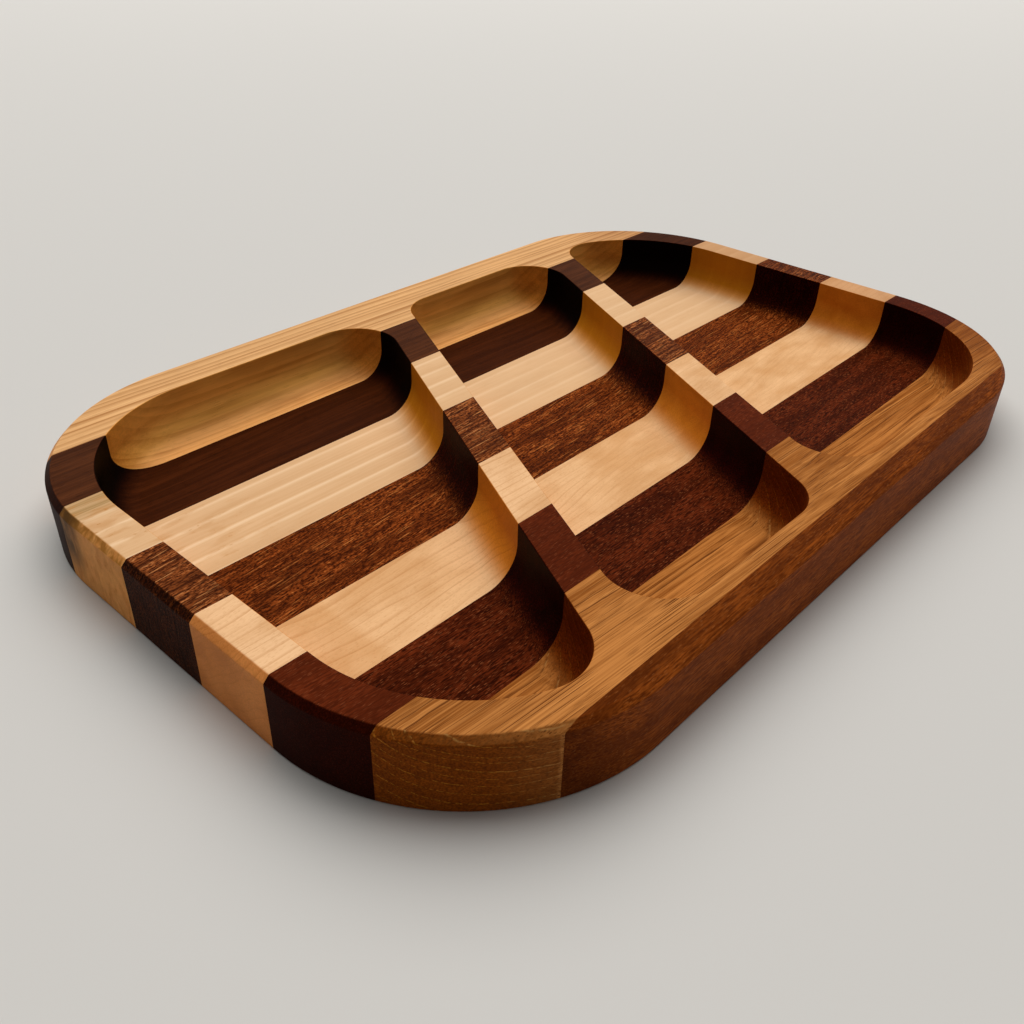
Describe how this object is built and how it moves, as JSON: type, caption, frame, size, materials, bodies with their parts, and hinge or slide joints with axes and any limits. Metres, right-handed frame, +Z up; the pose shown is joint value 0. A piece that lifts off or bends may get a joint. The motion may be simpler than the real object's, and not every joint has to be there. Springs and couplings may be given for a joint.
{
  "type": "divided wooden tray",
  "caption": "Shallow laminated wooden tray with round corners and slanted dividers between routed pockets, for snacks, jewellery or pocket items.",
  "frame": {"origin": "centre of the underside, on the surface that the tray stands on", "axes": "+X along the staves, the tray's longest side; +Y to the back, where the ash stave lies; +Z up, through the thickness"},
  "size_m": [0.27, 0.181, 0.019],
  "materials": {
    "ash": "oiled, satin",
    "walnut": "oiled, satin",
    "poplar": "oiled, satin",
    "sapele": "oiled, satin",
    "maple": "oiled, satin",
    "mahogany": "oiled, satin",
    "oak": "oiled, satin",
    "mahogany_edge": "oiled, satin"
  },
  "bodies": {
    "root": {"ash_stave": "ash", "walnut_stave": "walnut", "poplar_stave": "poplar", "sapele_stave": "sapele", "maple_stave": "maple", "mahogany_stave": "mahogany", "oak_stave": "oak", "mahogany_edge_strip": "mahogany_edge"}
  },
  "joints": []
}
